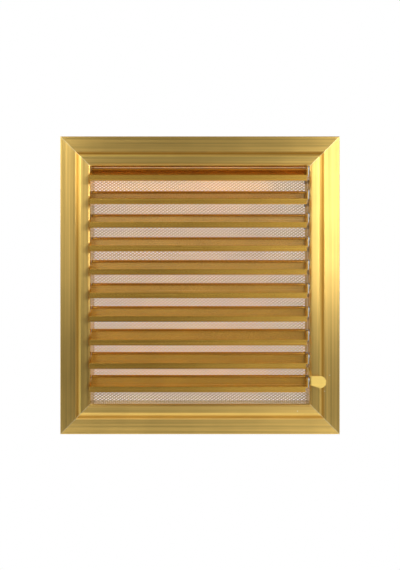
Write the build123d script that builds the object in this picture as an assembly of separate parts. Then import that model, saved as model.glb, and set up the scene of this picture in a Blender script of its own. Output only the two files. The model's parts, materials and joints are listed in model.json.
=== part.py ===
from build123d import *
import os
from math import atan2, cos, radians, sin, tan

# Adjustable louvered vent in gold-anodised aluminium, in millimetres.
# +X is the viewer's right, -Y is the front and +Z is up.
# The origin is the centre of the vent on the wall plane, where the frame meets the wall.
# Modelled with the louvers part open, as they rest.

# Louver row
LOUVER_COUNT = 10
PITCH = 20.0            # from pivot to pivot
REST_TILT = 24.0        # louver web below horizontal, as modelled
CLOSED_TILT = 72.0      # louver web below horizontal, closed
TOP_CLEARANCE = 0.5     # top louver's barrel below the frame's neck
BOTTOM_CLEARANCE = 2.3  # lowest lip above the frame's neck, closed

# Frame section
FRAME_WIDTH = 243.0     # outside, from left to right
FACE_WIDTH = 27.0       # from the outer edge to the opening
FRAME_WALL = 1.4
OUTER_BAND = 13.3       # from the outer edge to the foot of the slope
SLOPE_RUN = 5.3         # from the foot of the slope to its crest, seen from the front
OUTER_RISE = 3.0        # outer band in front of the wall plane
INNER_RISE = 9.0        # inner band in front of the wall plane
OUTER_ROUND = 0.8
FOOT_ROUND = 0.9
CREST_ROUND = 1.2
EDGE_ROLL = 1.7         # radius of the rolled edge at the opening
EDGE_LINE = 0.3         # width of the fine groove beside the rolled edge
RIM_WIDTH = 2.0         # return of the outer edge that bears on the wall
RIB_FOOT = 1.8          # turned foot of the rib that bears on the wall
NECK_DEPTH = 18.0       # behind the wall plane
NECK_BEAD = 1.2         # thickening round the back of the neck

# Mesh and its groove in the neck
MESH_THICKNESS = 0.8
MESH_SETBACK = 14.8     # middle of the mesh behind the wall plane
MESH_HOLD = 1.0         # how far the mesh reaches into the groove
GROOVE_DEPTH = 1.2
MESH_PLAY = 0.2         # groove width over the mesh thickness
MESH_COLUMNS = 6
MESH_ROWS = 11
MESH_STRAND = 3.0

# Corner keys
KEY_LEG = 26.0
KEY_PLAY = 0.15

# Louvers
SHEET = 1.0
BARREL_RADIUS = 1.6
WEB_SETBACK = 1.5       # web length short of the pitch
LIP = 4.5
PIVOT_SETBACK = 1.0     # pivot axis in front of the wall plane
LEFT_GAP = 0.4          # louver's left end to the neck
RIGHT_GAP = 2.6         # louver's right end to the neck
LIP_TRIM = 1.0          # lips of the two lowest louvers cut back beside the lever
TRIMMED_LOUVERS = 2

# Pivot pins
PIN_RADIUS = 1.0
PIN_GRIP = 6.0          # length inside the barrel
PIN_REACH = 1.2         # length inside the neck wall
PIN_PLAY = 0.05         # radial, in the neck wall
PRESS_PLAY = 0.01       # radial, where a pin is held fast

# Louver ears and cranks
EAR_ALONG = 14.2        # ear rivet from the pivot, along the web
EAR_ABOVE = 4.9         # ear rivet above the web
EAR_ROUND = 2.4
EAR_START = 8.0         # where the ear leaves the web, from the pivot
CRANK_THICKNESS = 0.8
CRANK_BOSS = 1.75
CRANK_ARM = 12.0        # from the pivot to the link rivet
CRANK_ARM_CLOSED = 1.0  # arm below horizontal when closed
CRANK_ARM_ROUND = 2.0
CRANK_STRIP = 1.3       # half width of the crank along the web

# Rivets
EAR_RIVET_RADIUS = 1.2
EAR_RIVET_HEAD = 1.9
LINK_RIVET_RADIUS = 1.0
LINK_RIVET_HEAD = 1.6
LINK_PLAY = 0.1         # radial, in the link bar
RIVET_HEAD_HEIGHT = 0.6
RIVET_HEAD_PLAY = 0.05
LEVER_RIVET_RADIUS = 0.6
LEVER_RIVET_HEAD = 1.0
LEVER_RIVET_HEAD_HEIGHT = 0.3
LEVER_RIVET_SPACING = 2.2

# Link bar and lever
LINK_THICKNESS = 0.6
LINK_GAP = 0.2          # crank to link bar
LINK_HALF_WIDTH = 2.0
LEVER_THICKNESS = 0.8
LEVER_LAP_LOW = 3.9     # lever strip above the lowest pivot
LEVER_LAP_HIGH = 8.4
BEND_RADIUS = 1.6       # mid-sheet, where the strip turns into the tab
TAB_TOP = 1.7           # tab above the lowest pivot
TAB_ROOT = 8.2          # tab's height at the bend
TAB_ROUND = 5.15        # radius of the tab's end
TAB_SAG = 5.25          # centre of the end below the tab's top
TAB_LENGTH = 14.3       # from the strip to the end of the tab
TAB_STANDOFF = 5.2      # tab in front of the inner band
TAB_RETURN = 3.4        # depth of the strip behind the tab
STRIP_DROP_START = 1.5  # strip starts down to the tab this far behind the inner band

# Sizes that follow from those above
WEB = PITCH - WEB_SETBACK
CLOSING = CLOSED_TILT - REST_TILT
LIP_CLOSED_ANGLE = radians(90.0 - CLOSING)
CLOSED_DROP = WEB * sin(radians(CLOSED_TILT)) + LIP * sin(LIP_CLOSED_ANGLE)
TOP_GAP = BARREL_RADIUS + TOP_CLEARANCE
BOTTOM_GAP = CLOSED_DROP + BOTTOM_CLEARANCE
OPENING_HEIGHT = TOP_GAP + (LOUVER_COUNT - 1) * PITCH + BOTTOM_GAP
OPENING_WIDTH = FRAME_WIDTH - 2 * FACE_WIDTH
FRAME_HEIGHT = OPENING_HEIGHT + 2 * FACE_WIDTH
NECK_X = OPENING_WIDTH / 2
NECK_Z = OPENING_HEIGHT / 2
PIVOT_Y = -PIVOT_SETBACK
LOUVER_LEFT = -NECK_X + LEFT_GAP
LOUVER_RIGHT = NECK_X - RIGHT_GAP
CRANK_RIGHT = LOUVER_RIGHT + CRANK_THICKNESS
LINK_LEFT = CRANK_RIGHT + LINK_GAP
LINK_RIGHT = LINK_LEFT + LINK_THICKNESS
LEVER_RIGHT = LINK_RIGHT + LEVER_THICKNESS
CREST = OUTER_BAND + SLOPE_RUN
SLOPE = atan2(INNER_RISE - OUTER_RISE, SLOPE_RUN)
SLOPE_INSET = FRAME_WALL * tan(SLOPE / 2)
RIB_INSIDE = CREST + SLOPE_INSET
RIB_OUTSIDE = RIB_INSIDE - FRAME_WALL
RIB_TOP = FRAME_WALL - OUTER_RISE - (RIB_OUTSIDE - OUTER_BAND - SLOPE_INSET) * tan(SLOPE)
NECK_OUTSIDE = FACE_WIDTH - FRAME_WALL
CHANNEL_FRONT = -INNER_RISE + FRAME_WALL
GROOVE_HALF = (MESH_THICKNESS + MESH_PLAY) / 2
BEAD_START = MESH_SETBACK - GROOVE_HALF - FRAME_WALL
ARM_ANGLE = radians(CRANK_ARM_CLOSED + CLOSING)
LINK_Y = CRANK_ARM * cos(ARM_ANGLE)
LINK_Z = -CRANK_ARM * sin(ARM_ANGLE)


def pivot_z(index):
    """Height of a louver's pivot, counted from the top."""
    return NECK_Z - TOP_GAP - index * PITCH


def in_web(along, above):
    """Side-view point from its place along and above the web, pivot at the origin."""
    tilt = radians(REST_TILT)
    return (
        -along * cos(tilt) - above * sin(tilt),
        -along * sin(tilt) + above * cos(tilt),
    )


def disc(point, radius):
    """Round sketch at a side-view point."""
    return Pos(*point) * Circle(radius)


def hull(*discs):
    """Outline stretched round a few discs."""
    return make_hull([edge for sketch in discs for edge in sketch.edges()])


def from_side(sketch, left, right):
    """Solid of a side-view sketch between two X planes."""
    return extrude(Plane.YZ.offset(left) * sketch, amount=right - left)


def rod(point, radius, left, right):
    """Round bar along X through a side-view point."""
    return from_side(disc(point, radius), left, right)


def at_pivot(shape, index):
    """Shape moved from the origin to a louver's pivot."""
    return Pos(0, PIVOT_Y, pivot_z(index)) * shape


def write(shape, name):
    """STEP file of one piece."""
    export_step(shape, f"parts/{name}.step")


def rounded(section, point, radius):
    """Section with its corner at a point rounded."""
    corner = section.vertices().sort_by_distance(point)[0]
    return fillet(corner, radius)


def frame_section():
    """Frame section, X from the outer edge inwards and Y back from the wall plane."""
    foot = (OUTER_BAND, -OUTER_RISE)
    crest = (CREST, -INNER_RISE)
    line_start = FACE_WIDTH - EDGE_ROLL - EDGE_LINE
    groove_front = MESH_SETBACK - GROOVE_HALF
    groove_back = MESH_SETBACK + GROOVE_HALF
    front = [
        Line((0, 0), (0, OUTER_ROUND - OUTER_RISE)),
        RadiusArc((0, OUTER_ROUND - OUTER_RISE), (OUTER_ROUND, -OUTER_RISE), -OUTER_ROUND),
        Polyline(
            (OUTER_ROUND, -OUTER_RISE),
            foot,
            crest,
            (line_start, -INNER_RISE),
            (line_start + EDGE_LINE / 2, EDGE_LINE - INNER_RISE),
            (line_start + EDGE_LINE, -INNER_RISE),
        ),
        RadiusArc(
            (FACE_WIDTH - EDGE_ROLL, -INNER_RISE),
            (FACE_WIDTH, EDGE_ROLL - INNER_RISE),
            -EDGE_ROLL,
        ),
    ]
    back = Polyline(
        (FACE_WIDTH, EDGE_ROLL - INNER_RISE),
        (FACE_WIDTH, groove_front),
        (FACE_WIDTH - GROOVE_DEPTH, groove_front),
        (FACE_WIDTH - GROOVE_DEPTH, groove_back),
        (FACE_WIDTH, groove_back),
        (FACE_WIDTH, NECK_DEPTH),
        (NECK_OUTSIDE - NECK_BEAD, NECK_DEPTH),
        (NECK_OUTSIDE - NECK_BEAD, BEAD_START),
        (NECK_OUTSIDE, BEAD_START),
        (NECK_OUTSIDE, CHANNEL_FRONT),
        (RIB_INSIDE, CHANNEL_FRONT),
        (RIB_INSIDE, -FRAME_WALL),
        (RIB_INSIDE + RIB_FOOT, -FRAME_WALL),
        (RIB_INSIDE + RIB_FOOT, 0),
        (RIB_OUTSIDE, 0),
        (RIB_OUTSIDE, RIB_TOP),
        (OUTER_BAND + SLOPE_INSET, FRAME_WALL - OUTER_RISE),
        (RIM_WIDTH, FRAME_WALL - OUTER_RISE),
        (RIM_WIDTH, 0),
        (0, 0),
    )
    section = make_face(Curve() + front + back)
    section = rounded(section, foot, FOOT_ROUND)
    return rounded(section, crest, CREST_ROUND)


def mitred_bar(length):
    """One frame member as the left one of a frame this tall, its outer edge on X = 0."""
    bar = extrude(frame_section(), amount=length / 2, both=True)
    inset = FACE_WIDTH + FRAME_WALL
    outline = Polygon(
        (0, -length / 2),
        (inset, inset - length / 2),
        (inset, length / 2 - inset),
        (0, length / 2),
        align=None,
    )
    wedge = extrude(Plane.XZ * outline, amount=2 * NECK_DEPTH, both=True)
    return bar & wedge


def make_frame():
    """Four mitred members, the side ones drilled for the pivot pins."""
    upright = Pos(-FRAME_WIDTH / 2, 0, 0) * mitred_bar(FRAME_HEIGHT)
    level = Pos(-FRAME_HEIGHT / 2, 0, 0) * mitred_bar(FRAME_WIDTH)
    hole_radius = PIN_RADIUS + PIN_PLAY
    holes = [
        at_pivot(rod((0, 0), hole_radius, -NECK_X - FRAME_WALL, NECK_X + FRAME_WALL), index)
        for index in range(LOUVER_COUNT)
    ]
    write(upright - holes, "frame_left")
    write(mirror(upright, about=Plane.YZ) - holes, "frame_right")
    write(Rot(0, 90, 0) * level, "frame_top")
    write(Rot(0, -90, 0) * level, "frame_bottom")


def make_corner_keys():
    """Four L-shaped keys in the channel behind the inner band."""
    near = RIB_INSIDE + KEY_PLAY
    far = NECK_OUTSIDE - KEY_PLAY
    outline = Polygon(
        (near, near),
        (near + KEY_LEG, near),
        (near + KEY_LEG, far),
        (far, far),
        (far, near + KEY_LEG),
        (near, near + KEY_LEG),
        align=None,
    )
    front = CHANNEL_FRONT + KEY_PLAY
    depth = -FRAME_WALL - KEY_PLAY - front
    corner = Pos(-FRAME_WIDTH / 2, 0, -FRAME_HEIGHT / 2)
    key = corner * extrude(Plane.XZ.offset(-front) * outline, amount=-depth)
    pair = [key, mirror(key, about=Plane.YZ)]
    keys = pair + [mirror(one, about=Plane.XY) for one in pair]
    write(Compound(keys), "corner_keys")


def make_mesh():
    """Expanded-metal sheet held in the groove of the neck, with staggered diamond gaps."""
    sheet = Rectangle(OPENING_WIDTH + 2 * MESH_HOLD, OPENING_HEIGHT + 2 * MESH_HOLD)
    across = OPENING_WIDTH / MESH_COLUMNS
    upward = OPENING_HEIGHT / MESH_ROWS
    half_x = (across - MESH_STRAND) / 2
    half_z = half_x * upward / across
    gaps = GridLocations(across, upward, MESH_COLUMNS, MESH_ROWS).locations
    gaps += GridLocations(across, upward, MESH_COLUMNS - 1, MESH_ROWS - 1).locations
    corners = [(-half_x, 0), (0, -half_z), (half_x, 0), (0, half_z)]
    diamonds = [place * Wire.make_polygon(corners) for place in gaps]
    outline = Plane.XZ.offset(-MESH_SETBACK) * Face(sheet.wire(), diamonds)
    write(extrude(outline, amount=MESH_THICKNESS / 2, both=True), "mesh")


def ear_outline():
    """Ear that stands above the web at the louver's right end."""
    rivet = in_web(EAR_ALONG, EAR_ABOVE)
    start = in_web(EAR_START, 0)
    fold = in_web(WEB, 0)
    return hull(disc(rivet, EAR_ROUND), disc(start, SHEET / 2), disc(fold, SHEET / 2))


def louver(index):
    """Folded louver: barrel, web, lip and end ear, with the barrel bored for the pins."""
    fold = in_web(WEB, 0)
    web = hull(disc((0, 0), SHEET / 2), disc(fold, SHEET / 2))
    lip = Pos(fold[0], fold[1] - LIP / 2) * Rectangle(SHEET, LIP)
    strip = web + disc((0, 0), BARREL_RADIUS) - disc((0, 0), PIN_RADIUS + PRESS_PLAY)
    rivet_hole = disc(in_web(EAR_ALONG, EAR_ABOVE), EAR_RIVET_RADIUS + PRESS_PLAY)
    ear_left = LOUVER_RIGHT - SHEET
    trimmed = index >= LOUVER_COUNT - TRIMMED_LOUVERS
    lip_right = ear_left - (LIP_TRIM if trimmed else 0)
    body = from_side(strip + lip, LOUVER_LEFT, lip_right)
    if trimmed:
        body += from_side(strip, lip_right, ear_left)
    body += from_side(strip + ear_outline() - rivet_hole, ear_left, LOUVER_RIGHT)
    return body


def crank():
    """Crank plate on the louver's right end: ear, pivot boss and arm back to the link."""
    boss = disc((0, 0), CRANK_BOSS)
    link = (LINK_Y, LINK_Z)
    arm = hull(boss, disc(link, CRANK_ARM_ROUND))
    strip = hull(boss, disc(in_web(EAR_START, 0), CRANK_STRIP))
    plate = ear_outline() + strip + arm
    plate -= disc((0, 0), PIN_RADIUS + PRESS_PLAY)
    plate -= disc(in_web(EAR_ALONG, EAR_ABOVE), EAR_RIVET_RADIUS + PRESS_PLAY)
    plate -= disc(link, LINK_RIVET_RADIUS + PRESS_PLAY)
    return from_side(plate, LOUVER_RIGHT, CRANK_RIGHT)


def pivot_pins():
    """Two pins pressed into the barrel's ends, running in the neck walls."""
    left = rod((0, 0), PIN_RADIUS, -NECK_X - PIN_REACH, LOUVER_LEFT + PIN_GRIP)
    right = rod((0, 0), PIN_RADIUS, LOUVER_RIGHT - PIN_GRIP, NECK_X + PIN_REACH)
    return Compound([left, right])


def crank_rivets():
    """Ear rivet that holds the crank to the louver, and link rivet that turns in the bar."""
    ear = in_web(EAR_ALONG, EAR_ABOVE)
    ear_rivet = rod(ear, EAR_RIVET_RADIUS, LOUVER_RIGHT - SHEET, CRANK_RIGHT)
    ear_rivet += rod(ear, EAR_RIVET_HEAD, CRANK_RIGHT, CRANK_RIGHT + RIVET_HEAD_HEIGHT)
    link = (LINK_Y, LINK_Z)
    shank_end = LINK_RIGHT + RIVET_HEAD_PLAY
    link_rivet = rod(link, LINK_RIVET_RADIUS, LOUVER_RIGHT, shank_end)
    link_rivet += rod(link, LINK_RIVET_HEAD, shank_end, shank_end + RIVET_HEAD_HEIGHT)
    return Compound([ear_rivet, link_rivet])


def make_louvers():
    """Every louver with the pieces that tilt with it."""
    plate, pins, rivets = crank(), pivot_pins(), crank_rivets()
    for index in range(LOUVER_COUNT):
        number = f"{index + 1:02d}"
        write(at_pivot(louver(index), index), f"louver_{number}")
        write(at_pivot(plate, index), f"crank_{number}")
        write(at_pivot(pins, index), f"pivot_pins_{number}")
        write(at_pivot(rivets, index), f"crank_rivets_{number}")


def lever_rivet_points():
    """Places of the lever's rivets on the link bar, from the lowest pivot."""
    middle = (LEVER_LAP_LOW + LEVER_LAP_HIGH) / 2
    half = LEVER_RIVET_SPACING / 2
    return [(LINK_Y, middle - half), (LINK_Y, middle + half)]


def make_link_bar():
    """Straight strip with a hole for each crank and two for the lever's rivets."""
    last = LOUVER_COUNT - 1
    span = last * PITCH
    low = (LINK_Y, LINK_Z)
    high = (LINK_Y, LINK_Z + span)
    strip = hull(disc(low, LINK_HALF_WIDTH), disc(high, LINK_HALF_WIDTH))
    for index in range(LOUVER_COUNT):
        hole = (LINK_Y, LINK_Z + index * PITCH)
        strip -= disc(hole, LINK_RIVET_RADIUS + LINK_PLAY)
    for point in lever_rivet_points():
        strip -= disc(point, LEVER_RIVET_RADIUS + PRESS_PLAY)
    write(at_pivot(from_side(strip, LINK_LEFT, LINK_RIGHT), last), "link_bar")


def make_lever():
    """Strip from the link bar out between the two lowest louvers, bent into the tab."""
    last = LOUVER_COUNT - 1
    half = LEVER_THICKNESS / 2
    back = LINK_Y + LINK_HALF_WIDTH
    tab_front = -INNER_RISE - TAB_STANDOFF - LEVER_THICKNESS - PIVOT_Y
    drop = STRIP_DROP_START - INNER_RISE - PIVOT_Y
    tab_low = TAB_TOP - TAB_ROOT
    bend_reach = BEND_RADIUS + half
    bend_right = LINK_RIGHT + bend_reach
    tab_right = LINK_RIGHT + TAB_LENGTH
    outline = Polygon(
        (back, LEVER_LAP_LOW),
        (back, LEVER_LAP_HIGH),
        (drop, LEVER_LAP_HIGH),
        (tab_front + bend_reach, TAB_TOP),
        (tab_front, TAB_TOP),
        (tab_front, tab_low),
        (tab_front + TAB_RETURN, tab_low),
        (tab_front + TAB_RETURN, LEVER_LAP_LOW - TAB_RETURN),
        (drop, LEVER_LAP_LOW),
        align=None,
    )
    for point in lever_rivet_points():
        outline -= disc(point, LEVER_RIVET_RADIUS + PRESS_PLAY)
    path = FilletPolyline(
        (LINK_RIGHT + half, back),
        (LINK_RIGHT + half, tab_front + half),
        (tab_right, tab_front + half),
        radius=BEND_RADIUS,
    )
    depth = 2 * (LEVER_LAP_HIGH + TAB_ROUND + TAB_SAG)
    sheet = extrude(trace(path, LEVER_THICKNESS), amount=depth / 2, both=True)
    end = Pos(tab_right - TAB_ROUND, TAB_TOP - TAB_SAG) * Circle(TAB_ROUND)
    root = Line((bend_right, TAB_TOP), (bend_right, tab_low))
    paddle = Plane.XZ * make_hull([root.edge(), *end.edges()])
    strip = from_side(outline, LINK_RIGHT, bend_right)
    tab = extrude(paddle, amount=-2 * tab_front, both=True)
    lever = sheet & (strip + tab)
    write(at_pivot(lever, last), "lever")
    rivets = []
    for point in lever_rivet_points():
        shank = rod(point, LEVER_RIVET_RADIUS, LINK_LEFT, LEVER_RIGHT)
        head_left = LINK_LEFT - LEVER_RIVET_HEAD_HEIGHT
        rivets.append(shank + rod(point, LEVER_RIVET_HEAD, head_left, LINK_LEFT))
    write(at_pivot(Compound(rivets), last), "lever_rivets")


os.makedirs("parts", exist_ok=True)
make_frame()
make_corner_keys()
make_mesh()
make_louvers()
make_link_bar()
make_lever()
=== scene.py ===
import json
import math

import bpy
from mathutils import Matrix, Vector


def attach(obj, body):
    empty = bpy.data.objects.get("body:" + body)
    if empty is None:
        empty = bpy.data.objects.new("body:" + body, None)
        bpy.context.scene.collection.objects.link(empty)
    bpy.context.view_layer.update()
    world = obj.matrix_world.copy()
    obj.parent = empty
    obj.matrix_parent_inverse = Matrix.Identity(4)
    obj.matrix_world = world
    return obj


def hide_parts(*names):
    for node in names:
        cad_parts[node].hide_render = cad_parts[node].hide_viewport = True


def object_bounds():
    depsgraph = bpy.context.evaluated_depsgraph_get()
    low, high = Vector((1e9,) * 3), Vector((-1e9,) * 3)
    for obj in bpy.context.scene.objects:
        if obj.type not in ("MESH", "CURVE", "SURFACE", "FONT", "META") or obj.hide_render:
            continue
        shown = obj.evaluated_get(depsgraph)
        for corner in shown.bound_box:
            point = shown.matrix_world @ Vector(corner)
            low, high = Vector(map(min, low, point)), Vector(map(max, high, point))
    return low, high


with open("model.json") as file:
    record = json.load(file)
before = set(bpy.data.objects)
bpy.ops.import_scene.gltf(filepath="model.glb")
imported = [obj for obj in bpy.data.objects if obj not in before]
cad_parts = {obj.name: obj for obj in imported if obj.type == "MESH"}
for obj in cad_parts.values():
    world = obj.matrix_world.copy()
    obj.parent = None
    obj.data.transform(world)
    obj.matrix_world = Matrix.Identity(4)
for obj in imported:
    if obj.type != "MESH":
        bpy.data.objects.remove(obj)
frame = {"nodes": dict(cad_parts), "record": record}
CAD_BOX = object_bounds()
nodes = frame["nodes"]
scene = bpy.context.scene
MM = 0.001

# Camera, from the photograph's perspective: pixels, metres and the sensor's millimetres
IMAGE_HEIGHT = 570
FOCAL_PIXELS = 814.8
EYE = (0.0, -0.711, -0.023)
AXIS_ROW = 311.7
SENSOR = 36.0
CLIP_START = 0.01

# Expanded mesh behind the louvers, lengths in millimetres
MESH_HALF_WIDTH = 95.3
MESH_HALF_HEIGHT = 103.3
MESH_MIDDLE = 14.8
CELL_WIDTH = 3.63
CELL_HEIGHT = 2.5
STRAND_WIDTH = 1.08
STRAND_THICKNESS = 0.3
STRAND_LEAN = math.radians(25.0)
# How far the middle of a strand stops short of the line between two rows
BEND_INSET = 0.05

# Marks of bare metal on the frame, in millimetres: the mitres, and specks at (x, z)
MITRE_LINE = 0.22
MITRE_STRENGTH = 0.8
SPECK_RADIUS = 0.65
SPECK_CORE = 0.7
SPECKS = (
    (112.7, -78.2),
    (108.3, -92.1),
    (84.0, -108.7),
)

# Painted shade in the foot of the frame's step and painted highlight on its crest, as a tint by the
# distance from the frame's outer edge, in millimetres
STEP_REACH = 30.0
STEP_SHADE_AND_HIGHLIGHT = (
    (0.0, (1.0, 1.0, 1.0)),
    (13.8, (1.0, 1.0, 1.0)),
    (15.2, (0.72, 0.58, 0.30)),
    (16.2, (0.84, 0.74, 0.55)),
    (17.3, (1.20, 1.22, 1.15)),
    (18.9, (1.20, 1.22, 1.15)),
    (19.8, (1.0, 1.0, 1.0)),
)

# Smoother walls inside the opening, up to these distances past its edge, in millimetres
NECK_ROUGHNESS = 0.14
NECK_FADE = (0.1, 0.4)

# Frame members: the axis across the face, half the opening in millimetres, half the outside in metres
LEVEL_FACE = ("Z", 102.5, CAD_BOX[1][2])
UPRIGHT_FACE = ("X", 94.5, CAD_BOX[1][0])

# Directions of the drawn lines, and the noise that makes them
LEVEL = (1.0, 0.0, 0.0)
UPRIGHT = (0.0, 0.0, 1.0)
SCALE_ALONG = 3.0
SCALE_ACROSS = 560.0
LINE_DETAIL = 3.0
LINE_ROUGHNESS = 0.6
LINE_DEPTH = 0.06
LINE_GLOSS = 0.12

# Broad unevenness of the colour
MOTTLE = 0.06
MOTTLE_SCALE = 28.0
MOTTLE_DETAIL = 2.0
MOTTLE_ROUGHNESS = 0.5

# The gloss spreads across the drawn lines: a quarter of a full turn from the tangent
QUARTER_TURN = 0.25

GOLD = (0.80, 0.535, 0.150)
LOUVER_GOLD = (0.82, 0.475, 0.085)
MESH_GOLD = (0.97, 0.90, 0.48)
PALE_GOLD = (0.88, 0.63, 0.17)
BARE_GOLD = (0.95, 0.78, 0.42)
MILL = (0.50, 0.485, 0.47)

# One finish for each material slot of the record
FINISHES = {
    "gold_level": dict(
        color=GOLD, roughness=0.33, anisotropic=0.8, grain=LEVEL, lines=0.18, face=LEVEL_FACE
    ),
    "gold_upright": dict(
        color=GOLD, roughness=0.33, anisotropic=0.8, grain=UPRIGHT, lines=0.18, face=UPRIGHT_FACE
    ),
    "louver_gold": dict(
        color=LOUVER_GOLD, roughness=0.25, anisotropic=0.4, grain=LEVEL, lines=0.05, bump=0.03
    ),
    "mesh_gold": dict(color=MESH_GOLD, roughness=0.36, grain=LEVEL, lines=0.05),
    "link_gold": dict(color=PALE_GOLD, roughness=0.40, grain=UPRIGHT),
    "lever_gold": dict(color=PALE_GOLD, roughness=0.50, grain=LEVEL, lines=0.03),
    "crank_metal": dict(color=MILL, roughness=0.38, grain=UPRIGHT),
    "key_metal": dict(color=MILL, roughness=0.42, grain=LEVEL),
    "pin_metal": dict(color=MILL, roughness=0.30, grain=LEVEL),
    "rivet_metal": dict(color=MILL, roughness=0.34, grain=LEVEL),
}

# Softboxes round the vent: azimuth to the right of the camera, elevation, edge in metres, watts
LAMP_DISTANCE = 1.5
SOFTBOXES = (
    ("left_high", -30.0, 30.0, 0.5, 6.4),
    ("left_low", -30.0, 10.0, 0.5, 0.25),
    ("left_wide_high", -50.0, 30.0, 0.5, 2.2),
    ("left_wide_low", -50.0, 10.0, 0.5, 0.3),
    ("left_side", -80.0, 20.0, 0.6, 4.5),
    ("left_side_low", -80.0, -10.0, 0.6, 0.55),
    ("left_top", -60.0, 65.0, 0.6, 0.8),
    ("right_low", 30.0, 10.0, 0.5, 5.4),
    ("right_high", 30.0, 30.0, 0.5, 4.0),
    ("right_under", 30.0, -10.0, 0.5, 0.08),
    ("right_wide", 50.0, 10.0, 0.5, 0.6),
    ("right_side", 80.0, 20.0, 0.6, 2.0),
    ("right_side_low", 80.0, -10.0, 0.6, 0.55),
    ("front_left", -10.0, 10.0, 0.5, 0.15),
    ("front_right", 10.0, 10.0, 0.5, 0.27),
    ("front_under", 10.0, -10.0, 0.5, 0.22),
    ("front_top", 10.0, 50.0, 0.5, 0.25),
    ("top", 0.0, 72.0, 0.8, 0.6),
)

# World strengths, and the heights and depths of the ray's direction between which they change
WHITE = 1.0
AMBIENT = 0.5
FRONT_LEVEL = 0.08
FRONT_EDGE = (0.0, 0.1)
CEILING_LEVEL = 0.4
CEILING_EDGE = (0.60, 0.82)

# Floor, in metres
FLOOR_HALF_WIDTH = 2.0
FLOOR_FRONT = -3.0
FLOOR_BACK = 1.1
FLOOR_HEIGHT = -0.62
FLOOR_COLOR = (0.8, 0.8, 0.8, 1.0)


def add_node(tree, kind, **properties):
    """Shader node with its properties set by name."""
    node = tree.nodes.new(kind)
    for name, value in properties.items():
        setattr(node, name, value)
    return node


def link(tree, source, output, target, socket):
    tree.links.new(source.outputs[output], target.inputs[socket])


def noise(tree, vector, output, scale, detail, roughness):
    """Noise texture driven by a vector."""
    texture = add_node(tree, "ShaderNodeTexNoise")
    texture.inputs["Scale"].default_value = scale
    texture.inputs["Detail"].default_value = detail
    texture.inputs["Roughness"].default_value = roughness
    link(tree, vector, output, texture, "Vector")
    return texture


def spread(tree, source, output, low, high, start=0.3, end=0.7):
    """Value mapped from one range to another, by default from the usual range of a noise."""
    mapped = add_node(tree, "ShaderNodeMapRange")
    mapped.inputs["From Min"].default_value = start
    mapped.inputs["From Max"].default_value = end
    mapped.inputs["To Min"].default_value = low
    mapped.inputs["To Max"].default_value = high
    link(tree, source, output, mapped, "Value")
    return mapped


def combine(tree, operation, first, second):
    """Math on two values, each a number or a node whose first output is used."""
    node = add_node(tree, "ShaderNodeMath", operation=operation)
    for socket, value in enumerate((first, second)):
        if isinstance(value, float):
            node.inputs[socket].default_value = value
        else:
            tree.links.new(value.outputs[0], node.inputs[socket])
    return node


def distance_from_middle(tree, place, axis):
    """Distance from the vent's middle along one axis."""
    parts = add_node(tree, "ShaderNodeSeparateXYZ")
    link(tree, place, "Object", parts, "Vector")
    away = add_node(tree, "ShaderNodeMath", operation="ABSOLUTE")
    link(tree, parts, axis, away, 0)
    return away


def frame_marks(tree, place):
    """Bare metal along the mitres and in a few specks, from 0 to 1."""
    low, high = CAD_BOX
    margin = (high[2] - low[2] - high[0] + low[0]) / 2
    across = distance_from_middle(tree, place, "X")
    upward = distance_from_middle(tree, place, "Z")
    apart = combine(tree, "SUBTRACT", combine(tree, "SUBTRACT", upward, across), margin)
    apart = combine(tree, "ABSOLUTE", apart, 0.0)
    marks = spread(tree, apart, 0, MITRE_STRENGTH, 0.0, MITRE_LINE * MM, 2 * MITRE_LINE * MM)
    for x, z in SPECKS:
        flat = add_node(tree, "ShaderNodeVectorMath", operation="MULTIPLY")
        flat.inputs[1].default_value = (1.0, 0.0, 1.0)
        link(tree, place, "Object", flat, 0)
        away = add_node(tree, "ShaderNodeVectorMath", operation="DISTANCE")
        away.inputs[1].default_value = (x * MM, 0.0, z * MM)
        link(tree, flat, "Vector", away, 0)
        core = SPECK_RADIUS * MM * SPECK_CORE
        speck = spread(tree, away, "Value", 1.0, 0.0, core, SPECK_RADIUS * MM)
        marks = combine(tree, "MAXIMUM", marks, speck)
    return marks


def painted_step_light(tree, away, outside):
    """Tint across the face: painted shade in the foot of the slope, painted highlight on its crest."""
    inward = spread(tree, away, 0, 0.0, 1.0, outside, outside - STEP_REACH * MM)
    ramp = add_node(tree, "ShaderNodeValToRGB")
    link(tree, inward, "Result", ramp, "Fac")
    stops = ramp.color_ramp.elements
    while len(stops) < len(STEP_SHADE_AND_HIGHLIGHT):
        stops.new(1.0)
    for stop, (distance, painted_tone) in zip(stops, STEP_SHADE_AND_HIGHLIGHT):
        stop.position = distance / STEP_REACH
        stop.color = (*painted_tone, 1.0)
    return ramp


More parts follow.
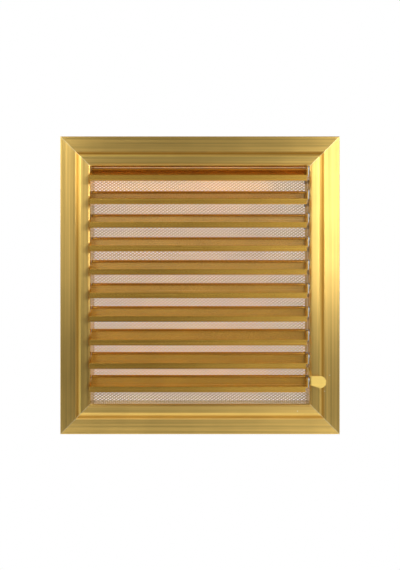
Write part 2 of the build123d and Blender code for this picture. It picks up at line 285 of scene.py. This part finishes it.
def metal(name, color, roughness, grain, anisotropic=0.0, lines=0.10, bump=0.12, face=None):
    """Anodised or mill metal: drawn lines along the piece, broad unevenness, stretched gloss.

    With a face, it also has the painted shade and highlight of the step, the bare marks and the smooth
    neck of a frame member.
    """
    material = bpy.data.materials.new(name)
    material.use_nodes = True
    tree = material.node_tree
    shader = tree.nodes["Principled BSDF"]
    shader.inputs["Metallic"].default_value = 1.0
    shader.inputs["Anisotropic"].default_value = anisotropic
    place = add_node(tree, "ShaderNodeTexCoord")
    drawn = add_node(tree, "ShaderNodeMapping")
    drawn.inputs["Scale"].default_value = [SCALE_ALONG if part else SCALE_ACROSS for part in grain]
    link(tree, place, "Object", drawn, "Vector")
    streaks = noise(tree, drawn, "Vector", 1.0, LINE_DETAIL, LINE_ROUGHNESS)
    patches = noise(tree, place, "Object", MOTTLE_SCALE, MOTTLE_DETAIL, MOTTLE_ROUGHNESS)

    streak_gain = spread(tree, streaks, "Fac", 1.0 - lines, 1.0 + lines)
    patch_gain = spread(tree, patches, "Fac", 1.0 - MOTTLE, 1.0 + MOTTLE)
    tint = add_node(tree, "ShaderNodeVectorMath", operation="SCALE")
    tint.inputs[0].default_value = color
    link(tree, combine(tree, "MULTIPLY", streak_gain, patch_gain), 0, tint, "Scale")
    rough = spread(tree, streaks, "Fac", roughness * (1.0 - LINE_GLOSS), roughness * (1.0 + LINE_GLOSS))
    if face:
        axis, half, outside = face
        away = distance_from_middle(tree, place, axis)
        # Painted shade in the foot of the step and painted highlight on its crest, multiplied into the
        # colour
        painted_step_color = add_node(tree, "ShaderNodeVectorMath", operation="MULTIPLY")
        link(tree, tint, "Vector", painted_step_color, 0)
        link(tree, painted_step_light(tree, away, outside), "Color", painted_step_color, 1)
        mix = add_node(tree, "ShaderNodeMixRGB")
        link(tree, frame_marks(tree, place), 0, mix, "Fac")
        link(tree, painted_step_color, "Vector", mix, "Color1")
        mix.inputs["Color2"].default_value = (*BARE_GOLD, 1.0)
        link(tree, mix, "Color", shader, "Base Color")
        start, end = [(half + fade) * MM for fade in NECK_FADE]
        walls = spread(tree, away, 0, 1.0, 0.0, start, end)
        smoother = combine(tree, "MULTIPLY", walls, roughness - NECK_ROUGHNESS)
        rough = combine(tree, "SUBTRACT", rough, smoother)
    else:
        link(tree, tint, "Vector", shader, "Base Color")
    link(tree, rough, 0, shader, "Roughness")

    relief = add_node(tree, "ShaderNodeBump")
    relief.inputs["Strength"].default_value = bump
    relief.inputs["Distance"].default_value = LINE_DEPTH * MM
    link(tree, streaks, "Fac", relief, "Height")
    link(tree, relief, "Normal", shader, "Normal")

    if anisotropic:
        shader.inputs["Anisotropic Rotation"].default_value = QUARTER_TURN
        along = add_node(tree, "ShaderNodeCombineXYZ")
        for socket, part in zip("XYZ", grain):
            along.inputs[socket].default_value = part
        link(tree, along, "Vector", shader, "Tangent")
    return material


def set_material(piece, material):
    piece.data.materials.clear()
    piece.data.materials.append(material)


MATERIALS = {slot: metal(slot, **finish) for slot, finish in FINISHES.items()}
for subpart in frame["record"]["subparts"]:
    set_material(nodes[subpart["node"]], MATERIALS[subpart["material_slot"]])


def expanded_mesh():
    """Zigzag strands that meet at their bends, each a flat ribbon that leans back."""
    columns = int(MESH_HALF_WIDTH // (CELL_WIDTH / 2))
    rows = int(MESH_HALF_HEIGHT // (CELL_HEIGHT / 2))
    reach = CELL_HEIGHT / 4 - BEND_INSET
    rise, back = math.cos(STRAND_LEAN), math.sin(STRAND_LEAN)
    section = []
    for along, out in ((-0.5, -0.5), (0.5, -0.5), (0.5, 0.5), (-0.5, 0.5)):
        wide, thick = along * STRAND_WIDTH, out * STRAND_THICKNESS
        section.append((wide * back + thick * rise, wide * rise - thick * back))
    verts, faces = [], []
    for row in range(-rows, rows):
        middle = (row + 0.5) * CELL_HEIGHT / 2
        start = len(verts)
        for column in range(-columns, columns + 1):
            x = column * CELL_WIDTH / 2
            z = middle + (reach if (column + row) % 2 else -reach)
            for y_off, z_off in section:
                verts.append((x * MM, (MESH_MIDDLE + y_off) * MM, (z + z_off) * MM))
        end = start + 4 * (2 * columns)
        for a in range(start, end, 4):
            for side in range(4):
                b = (side + 1) % 4
                faces.append((a + side, a + 4 + side, a + 4 + b, a + b))
        faces.append((start, start + 1, start + 2, start + 3))
        faces.append((end + 3, end + 2, end + 1, end))
    data = bpy.data.meshes.new("mesh_fine")
    data.from_pydata(verts, [], faces)
    data.validate()
    data.update()
    piece = bpy.data.objects.new("mesh_fine", data)
    scene.collection.objects.link(piece)
    set_material(piece, MATERIALS["mesh_gold"])
    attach(piece, "frame")
    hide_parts("mesh")


expanded_mesh()


def softbox(name, azimuth, elevation, edge, watts):
    """Square lamp that stands round the vent and is aimed at its middle."""
    turn, lift = math.radians(azimuth), math.radians(elevation)
    lamp = bpy.data.lights.new(name, "AREA")
    lamp.shape = "SQUARE"
    lamp.size = edge
    lamp.energy = watts
    holder = bpy.data.objects.new(name, lamp)
    scene.collection.objects.link(holder)
    holder.location = (
        LAMP_DISTANCE * math.cos(lift) * math.sin(turn),
        -LAMP_DISTANCE * math.cos(lift) * math.cos(turn),
        LAMP_DISTANCE * math.sin(lift),
    )
    holder.rotation_euler = (math.pi / 2 - lift, 0.0, turn)
    holder.visible_camera = False


for lamp_values in SOFTBOXES:
    softbox(*lamp_values)


def smooth_change(tree, source, output, edge):
    """Map range that eases between two strengths, which the caller sets."""
    mapped = add_node(tree, "ShaderNodeMapRange", interpolation_type="SMOOTHSTEP")
    mapped.inputs["From Min"].default_value = edge[0]
    mapped.inputs["From Max"].default_value = edge[1]
    link(tree, source, output, mapped, "Value")
    return mapped


def make_world():
    """White to the camera, and an even ambient to most other rays.

    Metal shows white with a dimmer ceiling behind the vent, and a dim studio on the camera's side.
    """
    world = bpy.data.worlds.new("studio")
    scene.world = world
    world.use_nodes = True
    tree = world.node_tree
    tree.nodes.clear()
    place = add_node(tree, "ShaderNodeTexCoord")
    parts = add_node(tree, "ShaderNodeSeparateXYZ")
    link(tree, place, "Generated", parts, "Vector")
    backdrop = smooth_change(tree, parts, "Z", CEILING_EDGE)
    backdrop.inputs["To Min"].default_value = WHITE
    backdrop.inputs["To Max"].default_value = CEILING_LEVEL
    mirrored = smooth_change(tree, parts, "Y", FRONT_EDGE)
    mirrored.inputs["To Min"].default_value = FRONT_LEVEL
    link(tree, backdrop, "Result", mirrored, "To Max")
    rays = add_node(tree, "ShaderNodeLightPath")
    shiny = add_node(tree, "ShaderNodeMath", operation="MAXIMUM")
    link(tree, rays, "Is Glossy Ray", shiny, 0)
    link(tree, rays, "Is Transmission Ray", shiny, 1)
    level = add_node(tree, "ShaderNodeMapRange")
    level.inputs["To Min"].default_value = AMBIENT
    link(tree, shiny, 0, level, "Value")
    link(tree, mirrored, "Result", level, "To Max")
    shown = add_node(tree, "ShaderNodeMapRange")
    shown.inputs["To Max"].default_value = WHITE
    link(tree, rays, "Is Camera Ray", shown, "Value")
    link(tree, level, "Result", shown, "To Min")
    around = add_node(tree, "ShaderNodeBackground")
    around.inputs["Color"].default_value = (1.0, 1.0, 1.0, 1.0)
    link(tree, shown, "Result", around, "Strength")
    out = add_node(tree, "ShaderNodeOutputWorld")
    link(tree, around, "Background", out, "Surface")


make_world()


def make_floor():
    """Pale floor below the vent, just under the lower edge of the photograph."""
    data = bpy.data.meshes.new("floor")
    data.from_pydata(
        [
            (-FLOOR_HALF_WIDTH, FLOOR_FRONT, FLOOR_HEIGHT),
            (FLOOR_HALF_WIDTH, FLOOR_FRONT, FLOOR_HEIGHT),
            (FLOOR_HALF_WIDTH, FLOOR_BACK, FLOOR_HEIGHT),
            (-FLOOR_HALF_WIDTH, FLOOR_BACK, FLOOR_HEIGHT),
        ],
        [],
        [(0, 1, 2, 3)],
    )
    floor = bpy.data.objects.new("floor", data)
    scene.collection.objects.link(floor)
    material = bpy.data.materials.new("floor_pale")
    material.use_nodes = True
    tree = material.node_tree
    tree.nodes.clear()
    pale = add_node(tree, "ShaderNodeBsdfDiffuse")
    pale.inputs["Color"].default_value = FLOOR_COLOR
    out = add_node(tree, "ShaderNodeOutputMaterial")
    link(tree, pale, "BSDF", out, "Surface")
    set_material(floor, material)


make_floor()

camera_data = bpy.data.cameras.new("camera")
camera_data.sensor_width = SENSOR
camera_data.lens = FOCAL_PIXELS * SENSOR / IMAGE_HEIGHT
camera_data.shift_y = (AXIS_ROW - IMAGE_HEIGHT / 2) / IMAGE_HEIGHT
camera_data.clip_start = CLIP_START
camera = bpy.data.objects.new("camera", camera_data)
scene.collection.objects.link(camera)
camera.location = EYE
camera.rotation_euler = (math.pi / 2, 0.0, 0.0)
scene.camera = camera
scene.view_settings.view_transform = "Standard"
